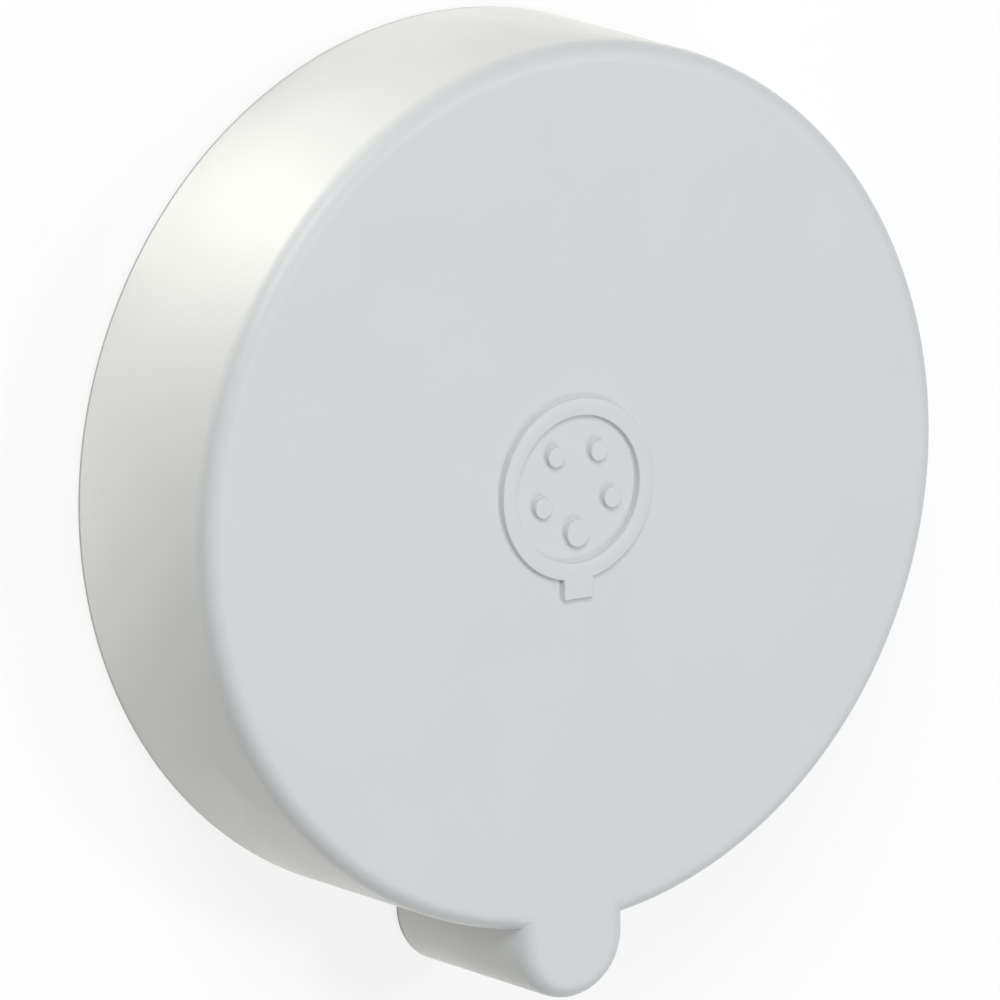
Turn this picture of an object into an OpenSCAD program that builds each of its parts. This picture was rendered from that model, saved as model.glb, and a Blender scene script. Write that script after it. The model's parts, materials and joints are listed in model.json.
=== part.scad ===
// Protective cap that is pushed over the round collar of an industrial power plug.
// One soft plastic moulding: a round face, a short skirt, and a key lug that
// covers the key rib of the collar. The mouth lies on z = 0 and the face is up.
// The origin is the middle of the mouth, and the key lug points to -Y.

/* [Collar] */
// Radius of the plug collar, and of the bore that grips it
bore_r = 31.5; // [20:0.5:60]
// Width of the pocket for the key rib of the collar
pocket_w = 5.9; // [4:0.1:12]
// How far the pocket reaches out past the bore
pocket_reach = 5.5; // [3:0.1:12]

/* [Shell] */
// Height from the mouth to the face
cap_h = 16.4; // [10:0.1:40]
// Wall of the skirt and of the key lug
wall_t = 1.8; // [1.2:0.1:3]
// Thickness of the round face
face_t = 1.8; // [1.2:0.1:3]

/* [Edges] */
// Rounded outer edge between the face and the skirt
edge_r = 1.5; // [0.5:0.1:2.5]
// Rounded inner corner between the face and the skirt
corner_r = 0.6; // [0.2:0.1:1.5]
// Bevel inside the mouth that leads the collar in
lead_in = 0.4; // [0.1:0.1:0.6]
// Small bevel on the outer rim of the mouth
rim_bevel = 0.2; // [0.1:0.1:0.4]

/* [Hidden] */
$fn = 180;

// How far the hollow is cut on below the mouth
overcut = 1;
// Middle of the lug's round end, measured from the axis of the cap
lug_mid = bore_r + pocket_reach - pocket_w / 2;

// Half of an upright section: from the middle out to reach, with a round top corner
module half_section(reach, top, round_r) {
    square([reach, top - round_r]);
    square([reach - round_r, top]);
    translate([reach - round_r, top - round_r]) circle(round_r);
}

// Half section of the outside, bevelled at the rim of the mouth
module outer_section(reach) {
    difference() {
        half_section(reach, cap_h, edge_r);
        polygon([[reach - rim_bevel, 0], [reach, -overcut], [reach + overcut, 0], [reach, rim_bevel]]);
    }
}

// Half section of the hollow, flared where the collar enters
module hollow_section(reach) {
    half_section(reach, cap_h - face_t, corner_r);
    polygon([[0, -overcut], [reach + lead_in + overcut, -overcut], [reach, lead_in], [0, lead_in]]);
}

// Round body with a round-ended lug towards -Y. The child is the half section,
// which reads how far it reaches from $reach.
module keyed_body(body_r, lug_r) {
    rotate_extrude() let ($reach = body_r) children();
    translate([0, -lug_mid, 0]) rotate([0, 0, 180])
        rotate_extrude(angle = 180) let ($reach = lug_r) children();
    rotate([90, 0, 0]) linear_extrude(height = lug_mid) let ($reach = lug_r) {
        children();
        mirror([1, 0]) children();
    }
}

// The whole moulding: the outside less a hollow of the same form, one wall smaller
module cap() {
    color([0.82, 0.83, 0.845])
    difference() {
        keyed_body(bore_r + wall_t, pocket_w / 2 + wall_t) outer_section($reach);
        keyed_body(bore_r, pocket_w / 2) hollow_section($reach);
    }
}

cap();
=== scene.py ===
import json
import math
import bpy
from mathutils import Matrix, Vector

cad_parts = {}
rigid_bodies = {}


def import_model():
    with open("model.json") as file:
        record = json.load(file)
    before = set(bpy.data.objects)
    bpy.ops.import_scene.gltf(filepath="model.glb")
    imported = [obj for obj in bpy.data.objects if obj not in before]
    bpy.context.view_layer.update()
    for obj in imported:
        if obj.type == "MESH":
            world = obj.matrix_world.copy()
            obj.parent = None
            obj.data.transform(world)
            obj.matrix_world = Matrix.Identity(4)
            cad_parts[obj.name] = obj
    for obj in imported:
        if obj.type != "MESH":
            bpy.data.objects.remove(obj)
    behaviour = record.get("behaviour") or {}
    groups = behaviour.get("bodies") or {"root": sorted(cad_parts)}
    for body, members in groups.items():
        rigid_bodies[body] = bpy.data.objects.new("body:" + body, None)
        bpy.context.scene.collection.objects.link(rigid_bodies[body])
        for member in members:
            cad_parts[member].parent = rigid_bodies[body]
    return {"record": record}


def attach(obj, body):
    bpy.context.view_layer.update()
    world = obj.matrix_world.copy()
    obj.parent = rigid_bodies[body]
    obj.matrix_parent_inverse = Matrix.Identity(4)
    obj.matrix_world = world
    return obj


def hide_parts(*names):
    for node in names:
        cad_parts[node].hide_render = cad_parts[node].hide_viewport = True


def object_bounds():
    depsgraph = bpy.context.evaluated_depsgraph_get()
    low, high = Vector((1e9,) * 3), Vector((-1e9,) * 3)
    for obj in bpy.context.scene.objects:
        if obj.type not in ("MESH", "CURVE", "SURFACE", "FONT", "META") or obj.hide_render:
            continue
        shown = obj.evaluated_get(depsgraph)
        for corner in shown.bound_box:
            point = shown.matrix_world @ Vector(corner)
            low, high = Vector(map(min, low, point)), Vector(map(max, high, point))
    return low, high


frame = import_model()
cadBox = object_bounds()
mounts = {mount["name"]: mount for mount in frame["record"]["mounts"]}

# The camera looks down at the cap from its left, rolled so that the lug is at the bottom
cameraView = {
    "place": (-1.0309, 0.3915, 1.4287),
    "right": (0.80906, -0.00385, 0.58771),
    "up": (0.13172, 0.97573, -0.17494),
    "sensor": 36.0,
    "lens": 876.56,
}


def addCamera(view):
    data = bpy.data.cameras.new("productCamera")
    data.sensor_width = view["sensor"]
    data.lens = view["lens"]
    data.clip_end = 10
    right = Vector(view["right"]).normalized()
    back = right.cross(Vector(view["up"])).normalized()
    turn = Matrix((right, back.cross(right), back)).transposed().to_4x4()
    camera = bpy.data.objects.new("productCamera", data)
    camera.matrix_world = Matrix.Translation(view["place"]) @ turn
    bpy.context.scene.collection.objects.link(camera)
    bpy.context.scene.camera = camera
    print("camera placed")


# Soft lamps: name, degrees round and up, size, watts and colour. The floor also glows a little
# round the cap, as on a light table: shares of the glow by degrees round, and one brighter spot.
studioLight = {
    "skyColour": (1.0, 0.988, 0.965),
    "skyStrength": 0.38,
    "aim": (0, 0, 0.008),
    "distance": 0.8,
    "lamps": [
        ("keyLight", 120, 45, 0.4, 3.20, (0.98, 0.985, 1.0)),
        ("fillLight", 300, 45, 0.4, 1.35, (0.98, 0.995, 1.0)),
        ("edgeLight", 13, 64, 0.12, 1.02, (0.93, 0.97, 1.0)),
    ],
    "floorTint": (1.0, 0.944, 0.825),
    "glowSize": 0.13,
    "glowWatts": 0.111,
    "glowFade": (0.041, 0.064),
    "glowShares": [
        (0, 0.20),
        (55, 0.40),
        (75, 0.24),
        (98, 0.255),
        (118, 0.212),
        (128, 0.37),
        (136, 0.47),
        (144, 0.46),
        (151, 0.32),
        (165, 0.278),
        (180, 0.28),
        (195, 0.222),
        (210, 0.132),
        (225, 0.114),
        (250, 0.15),
        (360, 0.20),
    ],
    "spotRound": 132,
    "spotDistance": 0.058,
    "spotSize": 0.034,
    "spotWatts": 0.0258,
    "glowGap": 0.0004,
    "spotGap": 0.0006,
}


def addLamp(name, place, aim, size, watts, colour):
    data = bpy.data.lights.new(name, "AREA")
    data.shape = "DISK"
    data.size = size
    data.energy = watts
    data.color = colour
    lamp = bpy.data.objects.new(name, data)
    lamp.location = place
    lamp.rotation_euler = (Vector(aim) - place).to_track_quat("-Z", "Y").to_euler()
    lamp.visible_camera = False
    bpy.context.scene.collection.objects.link(lamp)
    return data


def turnedPlace(around, above, distance):
    turn = Matrix.Rotation(math.radians(around), 3, "Z") @ Matrix.Rotation(-math.radians(above), 3, "Y")
    return turn @ Vector((distance, 0, 0))


def fadeOut(data, near, far, centre):
    # the lamp's glow falls off with the distance from one place in the room
    data.use_nodes = True
    nodes = data.node_tree.nodes
    links = data.node_tree.links
    spot = nodes.new("ShaderNodeNewGeometry")
    reach = nodes.new("ShaderNodeVectorMath")
    reach.operation = "DISTANCE"
    reach.inputs[1].default_value = centre
    links.new(spot.outputs["Position"], reach.inputs[0])
    fade = nodes.new("ShaderNodeMapRange")
    fade.interpolation_type = "SMOOTHSTEP"
    fade.inputs["From Min"].default_value = near
    fade.inputs["From Max"].default_value = far
    fade.inputs["To Min"].default_value = 1.0
    fade.inputs["To Max"].default_value = 0.0
    links.new(reach.outputs["Value"], fade.inputs["Value"])
    links.new(fade.outputs["Result"], nodes["Emission"].inputs["Strength"])


def shareRound(data, shares):
    # the lamp's glow changes with the direction seen from the middle of the cap
    nodes = data.node_tree.nodes
    links = data.node_tree.links
    spot = nodes.new("ShaderNodeNewGeometry")
    apart = nodes.new("ShaderNodeSeparateXYZ")
    links.new(spot.outputs["Position"], apart.inputs[0])
    angle = nodes.new("ShaderNodeMath")
    angle.operation = "ARCTAN2"
    links.new(apart.outputs["Y"], angle.inputs[0])
    links.new(apart.outputs["X"], angle.inputs[1])
    turns = nodes.new("ShaderNodeMath")
    turns.operation = "DIVIDE"
    turns.inputs[1].default_value = 2 * math.pi
    links.new(angle.outputs[0], turns.inputs[0])
    whole = nodes.new("ShaderNodeMath")
    whole.operation = "FRACT"
    links.new(turns.outputs[0], whole.inputs[0])
    ramp = nodes.new("ShaderNodeValToRGB")
    stops = ramp.color_ramp.elements
    for stop, (degrees, share) in zip((stops[0], stops[1]), (shares[0], shares[-1])):
        stop.position = degrees / 360
        stop.color = (share, share, share, 1)
    for degrees, share in shares[1:-1]:
        stops.new(degrees / 360).color = (share, share, share, 1)
    links.new(whole.outputs[0], ramp.inputs["Fac"])
    links.new(ramp.outputs["Color"], nodes["Emission"].inputs["Color"])


def addStudioLight(light):
    scene = bpy.context.scene
    world = bpy.data.worlds.new("studio")
    world.use_nodes = True
    sky = world.node_tree.nodes["Background"]
    sky.inputs["Color"].default_value = (*light["skyColour"], 1)
    sky.inputs["Strength"].default_value = light["skyStrength"]
    scene.world = world
    for name, around, above, size, watts, colour in light["lamps"]:
        place = turnedPlace(around, above, light["distance"])
        addLamp(name, place, light["aim"], size, watts, colour)
    up = Vector((0, 0, 1))
    tint = light["floorTint"]
    place = up * light["glowGap"]
    glow = addLamp("floorGlow", place, place + up, light["glowSize"], light["glowWatts"], tint)
    fadeOut(glow, *light["glowFade"], place)
    shareRound(glow, light["glowShares"])
    # the spot lies just above the glow, because two lamps in one plane hide each other
    place = turnedPlace(light["spotRound"], 0, light["spotDistance"]) + up * light["spotGap"]
    spot = addLamp("floorSpot", place, place + up, light["spotSize"], light["spotWatts"], tint)
    fadeOut(spot, 0, light["spotSize"] / 2, place)
    scene.view_settings.view_transform = "Standard"
    print("studio light set")


studioFloor = {
    "size": 6.0,
    "level": -0.00002,
    "seenColour": (0.93, 0.93, 0.93),
    "bounceColour": (0.50, 0.50, 0.48),
    "glow": 0.8,
}


def layFloor(look):
    bpy.ops.object.select_all(action="DESELECT")
    bpy.ops.mesh.primitive_plane_add(size=look["size"], location=(0, 0, look["level"]))
    floor = bpy.context.object
    floor.name = "studioFloor"
    material = bpy.data.materials.new("paleFloor")
    material.use_nodes = True
    nodes = material.node_tree.nodes
    links = material.node_tree.links
    nodes.clear()
    out = nodes.new("ShaderNodeOutputMaterial")
    path = nodes.new("ShaderNodeLightPath")
    seen = nodes.new("ShaderNodeMath")
    seen.operation = "MAXIMUM"
    links.new(path.outputs["Is Camera Ray"], seen.inputs[0])
    links.new(path.outputs["Is Glossy Ray"], seen.inputs[1])
    colour = nodes.new("ShaderNodeMix")
    colour.data_type = "RGBA"
    colour.inputs["A"].default_value = (*look["bounceColour"], 1)
    colour.inputs["B"].default_value = (*look["seenColour"], 1)
    links.new(seen.outputs[0], colour.inputs["Factor"])
    matt = nodes.new("ShaderNodeBsdfDiffuse")
    links.new(colour.outputs["Result"], matt.inputs["Color"])
    glow = nodes.new("ShaderNodeEmission")
    glow.inputs["Strength"].default_value = 1.0
    share = nodes.new("ShaderNodeMath")
    share.operation = "MULTIPLY"
    share.inputs[1].default_value = look["glow"]
    links.new(seen.outputs[0], share.inputs[0])
    mix = nodes.new("ShaderNodeMixShader")
    links.new(share.outputs[0], mix.inputs["Fac"])
    links.new(matt.outputs[0], mix.inputs[1])
    links.new(glow.outputs[0], mix.inputs[2])
    links.new(mix.outputs[0], out.inputs["Surface"])
    floor.data.materials.append(material)
    print("floor laid")


# The moulding, in metres. The driving sizes come from the frame.
capShape = {
    "outerRadius": cadBox[1][0],
    "boreRadius": mounts["collar_bore"]["dims"]["r_mm"] / 1000,
    "height": cadBox[1][2],
    "faceThickness": 0.0018,
    "edgeRadius": 0.0015,
    "cornerRadius": 0.0006,
    "leadIn": 0.0004,
    "rimBevel": 0.0002,
    "lugHalfWidth": 0.00475,
    "lugReach": -cadBox[0][1],
    "bodySteps": 256,
    "lugSteps": 48,
    "wallSteps": 10,
    "edgeSteps": 10,
    "cornerSteps": 5,
    "flatMargins": (0.0001, 0.0004, 0.001),
    "smoothAngle": 30,
}


def turnAround(steps, angle, centre):
    bpy.ops.mesh.spin(steps=steps, angle=-angle, center=centre, axis=(0, 0, 1))  # spin turns clockwise


def insetBy(sideways, along):
    bpy.ops.mesh.inset(thickness=sideways, depth=along, use_even_offset=True)


def raiseBy(rise, steps):
    for step in range(steps):
        bpy.ops.mesh.extrude_region_move(TRANSFORM_OT_translate={"value": (0, 0, rise / steps)})


def roundBy(radius, steps, direction):
    # one quarter round, laid as a row of small insets
    across, along = 0.0, 0.0
    for step in range(1, steps + 1):
        angle = math.pi / 2 * step / steps
        nextAcross = radius * (1 - math.cos(angle))
        nextAlong = radius * math.sin(angle)
        insetBy(nextAcross - across, direction * (nextAlong - along))
        across, along = nextAcross, nextAlong


def pickPlate(mesh, height):
    # the many-sided face that closes the form at one height
    bpy.ops.object.mode_set(mode="OBJECT")
    for face in mesh.polygons:
        face.select = len(face.vertices) > 4 and abs(face.center.z - height) < 1e-6
    bpy.ops.object.mode_set(mode="EDIT")


def modelCap(shape):
    radius = shape["outerRadius"]
    lugMiddle = shape["lugReach"] - shape["lugHalfWidth"]
    wall = radius - shape["boreRadius"]
    low = shape["rimBevel"]
    halfGap = math.asin(shape["lugHalfWidth"] / radius)
    corner = (shape["lugHalfWidth"], -radius * math.cos(halfGap), low)
    bpy.ops.object.select_all(action="DESELECT")
    bpy.ops.mesh.primitive_circle_add(vertices=3, radius=wall, location=corner)
    cap = bpy.context.object
    cap.name = "capMoulding"
    bpy.ops.object.transform_apply(location=True)
    bpy.ops.object.mode_set(mode="EDIT")
    bpy.ops.mesh.select_mode(type="VERT")
    bpy.ops.mesh.select_all(action="SELECT")
    bpy.ops.mesh.merge(type="CENTER")
    # outline: round the body, down one side of the lug and round its end
    turnAround(shape["bodySteps"], 2 * (math.pi - halfGap), (0, 0, low))
    bpy.ops.mesh.extrude_region_move(TRANSFORM_OT_translate={"value": (0, -lugMiddle - corner[1], 0)})
    turnAround(shape["lugSteps"], math.pi, (0, -lugMiddle, low))
    bpy.ops.mesh.select_all(action="SELECT")
    bpy.ops.mesh.remove_doubles(threshold=1e-6)
    bpy.ops.mesh.edge_face_add()
    bpy.ops.mesh.select_mode(type="FACE")
    # outside: the skirt, the rounded edge and the flat face
    edgeStart = shape["height"] - shape["edgeRadius"]
    raiseBy(edgeStart - low, shape["wallSteps"])
    bpy.ops.mesh.select_all(action="SELECT")
    bpy.ops.mesh.normals_make_consistent(inside=False)
    pickPlate(cap.data, edgeStart)
    roundBy(shape["edgeRadius"], shape["edgeSteps"], 1)
    for margin in shape["flatMargins"]:
        insetBy(margin, 0)
    # mouth: rim bevel, flat rim, lead-in, then up the inside to the ceiling
    pickPlate(cap.data, low)
    insetBy(low, low)
    insetBy(wall - low - shape["leadIn"], 0)
    insetBy(shape["leadIn"], -shape["leadIn"])
    ceiling = shape["height"] - shape["faceThickness"]
    raiseBy(ceiling - shape["cornerRadius"] - shape["leadIn"], shape["wallSteps"])
    roundBy(shape["cornerRadius"], shape["cornerSteps"], -1)
    insetBy(shape["flatMargins"][0], 0)
    # the hollow gets the second material, ring by ring from the ceiling down
    for ring in range(shape["cornerSteps"] + shape["wallSteps"] + 1):
        bpy.ops.mesh.select_more(use_face_step=False)
    cap.data.materials.append(plasticMaterial("satinPlastic", satinPlastic))
    cap.data.materials.append(plasticMaterial("smoothPlastic", smoothPlastic))
    cap.active_material_index = 1
    bpy.ops.object.material_slot_assign()
    bpy.ops.object.mode_set(mode="OBJECT")
    print("cap modelled:", len(cap.data.polygons), "faces")
    return cap


# The raised pin picture in the middle of the face: a ring with its key, and the pins in it
pinPicture = {
    "ringRadius": 0.0062,
    "stroke": 0.0013,
    "relief": 0.00045,
    "sunk": 0.0003,
    "pins": 5,
    "pinCircle": 0.0033,
    "pinRadius": 0.00078,
    "earthRadius": 0.00105,
    "keyWidth": 0.0026,
    "keyLength": 0.0014,
    "softEdge": 0.00008,
    "softSteps": 3,
    "footRadius": 0.00005,
    "footSteps": 2,
    "footAngle": 60,
    "ringSteps": 128,
    "pinSteps": 40,
}


def softenTop(mesh, height, picture):
    # rounds the edges that lie at one height
    bpy.ops.object.mode_set(mode="EDIT")
    bpy.ops.mesh.select_mode(type="EDGE")
    bpy.ops.mesh.select_all(action="DESELECT")
    bpy.ops.object.mode_set(mode="OBJECT")
    for edge in mesh.edges:
        edge.select = all(abs(mesh.vertices[end].co.z - height) < 1e-6 for end in edge.vertices)
    bpy.ops.object.mode_set(mode="EDIT")
    bpy.ops.mesh.bevel(offset=picture["softEdge"], segments=picture["softSteps"], affect="EDGES")
    bpy.ops.object.mode_set(mode="OBJECT")


def modelRing(picture, low, high):
    # a small upright plate with soft top corners, whose outline is turned round the axis
    middle = (low + high) / 2
    bpy.ops.object.select_all(action="DESELECT")
    place = (picture["ringRadius"], 0, middle)
    bpy.ops.mesh.primitive_plane_add(size=1, location=place, rotation=(math.pi / 2, 0, 0))
    ring = bpy.context.object
    ring.scale = (picture["stroke"], high - low, 1)
    bpy.ops.object.transform_apply(location=True, rotation=True, scale=True)
    bpy.ops.object.mode_set(mode="EDIT")
    bpy.ops.mesh.select_mode(type="VERT")
    bpy.ops.mesh.select_all(action="DESELECT")
    bpy.ops.object.mode_set(mode="OBJECT")
    for vertex in ring.data.vertices:
        vertex.select = vertex.co.z > middle
    bpy.ops.object.mode_set(mode="EDIT")
    bpy.ops.mesh.bevel(offset=picture["softEdge"], segments=picture["softSteps"], affect="VERTICES")
    bpy.ops.mesh.select_all(action="SELECT")
    bpy.ops.mesh.delete(type="ONLY_FACE")
    bpy.ops.mesh.select_all(action="SELECT")
    turnAround(picture["ringSteps"], 2 * math.pi, (0, 0, 0))
    bpy.ops.mesh.select_all(action="SELECT")
    bpy.ops.mesh.remove_doubles(threshold=1e-6)
    bpy.ops.mesh.normals_make_consistent(inside=False)
    bpy.ops.object.mode_set(mode="OBJECT")
    return ring


def modelKey(picture, low, high):
    near = picture["ringRadius"]
    far = near + picture["stroke"] / 2 + picture["keyLength"]
    bpy.ops.object.select_all(action="DESELECT")
    bpy.ops.mesh.primitive_cube_add(size=1, location=(0, -(near + far) / 2, (low + high) / 2))
    key = bpy.context.object
    key.scale = (picture["keyWidth"], far - near, high - low)
    bpy.ops.object.transform_apply(location=True, rotation=True, scale=True)
    softenTop(key.data, high, picture)
    return key


def modelPin(picture, low, high, count):
    around = 2 * math.pi * count / picture["pins"] - math.pi / 2
    circle = picture["pinCircle"]
    radius = picture["pinRadius"] if count else picture["earthRadius"]
    place = (circle * math.cos(around), circle * math.sin(around), (low + high) / 2)
    bpy.ops.object.select_all(action="DESELECT")
    bpy.ops.mesh.primitive_cylinder_add(
        vertices=picture["pinSteps"], radius=radius, depth=high - low, location=place)
    pin = bpy.context.object
    bpy.ops.object.transform_apply(location=True)
    softenTop(pin.data, high, picture)
    return pin


def uniteWith(body, part):
    union = body.modifiers.new("union", "BOOLEAN")
    union.operation = "UNION"
    union.solver = "EXACT"
    union.object = part
    bpy.ops.object.select_all(action="DESELECT")
    bpy.context.view_layer.objects.active = body
    bpy.ops.object.modifier_apply(modifier=union.name)
    bpy.data.objects.remove(part)


def raisePicture(cap, picture, face):
    low = face - picture["sunk"]
    high = face + picture["relief"]
    ring = modelRing(picture, low, high)
    uniteWith(ring, modelKey(picture, low, high))
    uniteWith(cap, ring)
    for count in range(picture["pins"]):
        uniteWith(cap, modelPin(picture, low, high, count))
    # a small round at the foot, where the relief meets the face
    bpy.context.view_layer.objects.active = cap
    bpy.ops.object.mode_set(mode="EDIT")
    bpy.ops.mesh.select_mode(type="EDGE")
    bpy.ops.mesh.select_all(action="DESELECT")
    bpy.ops.mesh.edges_select_sharp(sharpness=math.radians(picture["footAngle"]))
    bpy.ops.object.mode_set(mode="OBJECT")
    reach = picture["ringRadius"] + picture["stroke"] + picture["keyLength"]
    spots = cap.data.vertices
    for edge in cap.data.edges:
        level = all(abs(spots[end].co.z - face) < 1e-6 for end in edge.vertices)
        near = all(spots[end].co.xy.length < reach for end in edge.vertices)
        edge.select = edge.select and level and near
    bpy.ops.object.mode_set(mode="EDIT")
    bpy.ops.mesh.bevel(offset=picture["footRadius"], segments=picture["footSteps"], affect="EDGES")
    bpy.ops.object.mode_set(mode="OBJECT")
    print("pin picture raised:", len(cap.data.polygons), "faces")


# The outside has the fine satin of the mould, the hollow is a little smoother
satinPlastic = {
    "coolTone": (0.638, 0.660, 0.668),
    "warmTone": (0.644, 0.660, 0.672),
    "toneSize": 0.016,
    "toneDepth": 0.985,
    "grainSize": 0.00035,
    "grainDepth": 0.000004,
    "roughness": (0.42, 0.50),
    "edgePolish": 0.06,
}
smoothPlastic = {
    "coolTone": (0.632, 0.652, 0.658),
    "warmTone": (0.642, 0.650, 0.664),
    "toneSize": 0.02,
    "toneDepth": 0.98,
    "grainSize": 0.0006,
    "grainDepth": 0.000002,
    "roughness": (0.34, 0.42),
    "edgePolish": 0.03,
}


def mouldSkinGroup():
    # what the mould leaves on the plastic: faint tones, fine grain and a polish on rounded edges
    if "mouldSkin" in bpy.data.node_groups:
        return bpy.data.node_groups["mouldSkin"]
    group = bpy.data.node_groups.new("mouldSkin", "ShaderNodeTree")
    face = group.interface
    face.new_socket("Vector", in_out="INPUT", socket_type="NodeSocketVector")
    for name in ("Tone Size", "Tone Depth", "Grain Size"):
        face.new_socket(name, in_out="INPUT", socket_type="NodeSocketFloat")
    for name in ("Cool Tone", "Warm Tone"):
        face.new_socket(name, in_out="INPUT", socket_type="NodeSocketColor")
    for name in ("Smooth", "Rough", "Edge Polish"):
        face.new_socket(name, in_out="INPUT", socket_type="NodeSocketFloat")
    face.new_socket("Color", in_out="OUTPUT", socket_type="NodeSocketColor")
    face.new_socket("Roughness", in_out="OUTPUT", socket_type="NodeSocketFloat")
    face.new_socket("Grain", in_out="OUTPUT", socket_type="NodeSocketFloat")
    nodes = group.nodes
    links = group.links
    start = nodes.new("NodeGroupInput")
    end = nodes.new("NodeGroupOutput")

    def sums(operation, first, second):
        node = nodes.new("ShaderNodeMath")
        node.operation = operation
        for socket, value in zip(node.inputs, (first, second)):
            if isinstance(value, (int, float)):
                socket.default_value = value
            else:
                links.new(value, socket)
        return node.outputs[0]

    def cloud(scale, detail, shift):
        moved = nodes.new("ShaderNodeVectorMath")
        moved.operation = "ADD"
        moved.inputs[1].default_value = shift
        links.new(start.outputs["Vector"], moved.inputs[0])
        noise = nodes.new("ShaderNodeTexNoise")
        noise.inputs["Detail"].default_value = detail
        links.new(moved.outputs[0], noise.inputs["Vector"])
        links.new(scale, noise.inputs["Scale"])
        return noise.outputs["Fac"]

    def spread(value, low, high, toLow, toHigh):
        node = nodes.new("ShaderNodeMapRange")
        node.inputs["From Min"].default_value = low
        node.inputs["From Max"].default_value = high
        for name, limit in (("To Min", toLow), ("To Max", toHigh)):
            if isinstance(limit, (int, float)):
                node.inputs[name].default_value = limit
            else:
                links.new(limit, node.inputs[name])
        links.new(value, node.inputs["Value"])
        return node.outputs["Result"]

    broad = sums("DIVIDE", 1.0, start.outputs["Tone Size"])
    fine = sums("DIVIDE", 1.0, start.outputs["Grain Size"])
    tint = spread(cloud(broad, 2, (0.31, 0.12, 0.07)), 0.35, 0.65, 0.0, 1.0)
    mix = nodes.new("ShaderNodeMix")
    mix.data_type = "RGBA"
    links.new(tint, mix.inputs["Factor"])
    links.new(start.outputs["Cool Tone"], mix.inputs["A"])
    links.new(start.outputs["Warm Tone"], mix.inputs["B"])
    depth = spread(cloud(sums("MULTIPLY", broad, 2.3), 3, (0.05, 0.44, 0.21)), 0.3, 0.7,
                   start.outputs["Tone Depth"], 1.0)
    shade = nodes.new("ShaderNodeVectorMath")
    shade.operation = "SCALE"
    links.new(mix.outputs["Result"], shade.inputs[0])
    links.new(depth, shade.inputs["Scale"])
    links.new(shade.outputs[0], end.inputs["Color"])
    # rounded edges are the places where the surface leans between level and upright
    lean = nodes.new("ShaderNodeNewGeometry")
    apart = nodes.new("ShaderNodeSeparateXYZ")
    links.new(lean.outputs["Normal"], apart.inputs[0])
    tilt = sums("ABSOLUTE", apart.outputs["Z"], 0.0)
    edge = sums("MULTIPLY", sums("MULTIPLY", tilt, sums("SUBTRACT", 1.0, tilt)), 4.0)
    polish = sums("MULTIPLY", edge, start.outputs["Edge Polish"])
    patchy = spread(cloud(sums("MULTIPLY", broad, 4.0), 3, (0.6, 0.2, 0.9)), 0.3, 0.7,
                    start.outputs["Smooth"], start.outputs["Rough"])
    links.new(sums("SUBTRACT", patchy, polish), end.inputs["Roughness"])
    links.new(cloud(fine, 2, (0.0, 0.0, 0.0)), end.inputs["Grain"])
    return group


def plasticMaterial(name, look):
    material = bpy.data.materials.new(name)
    material.use_nodes = True
    nodes = material.node_tree.nodes
    links = material.node_tree.links
    shader = nodes["Principled BSDF"]
    place = nodes.new("ShaderNodeTexCoord")
    skin = nodes.new("ShaderNodeGroup")
    skin.node_tree = mouldSkinGroup()
    links.new(place.outputs["Object"], skin.inputs["Vector"])
    skin.inputs["Tone Size"].default_value = look["toneSize"]
    skin.inputs["Tone Depth"].default_value = look["toneDepth"]
    skin.inputs["Grain Size"].default_value = look["grainSize"]
    skin.inputs["Cool Tone"].default_value = (*look["coolTone"], 1)
    skin.inputs["Warm Tone"].default_value = (*look["warmTone"], 1)
    skin.inputs["Smooth"].default_value = look["roughness"][0]
    skin.inputs["Rough"].default_value = look["roughness"][1]
    skin.inputs["Edge Polish"].default_value = look["edgePolish"]
    bump = nodes.new("ShaderNodeBump")
    bump.inputs["Distance"].default_value = look["grainDepth"]
    links.new(skin.outputs["Grain"], bump.inputs["Height"])
    links.new(skin.outputs["Color"], shader.inputs["Base Color"])
    links.new(skin.outputs["Roughness"], shader.inputs["Roughness"])
    links.new(bump.outputs["Normal"], shader.inputs["Normal"])
    return material


addCamera(cameraView)
addStudioLight(studioLight)
layFloor(studioFloor)
cap = modelCap(capShape)
raisePicture(cap, pinPicture, capShape["height"])
bpy.ops.object.select_all(action="DESELECT")
cap.select_set(True)
bpy.context.view_layer.objects.active = cap
bpy.ops.object.shade_smooth_by_angle(angle=math.radians(capShape["smoothAngle"]))
evenShade = cap.modifiers.new("evenShade", "WEIGHTED_NORMAL")
evenShade.keep_sharp = True
bpy.ops.object.modifier_apply(modifier=evenShade.name)
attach(cap, "root")
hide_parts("cap")
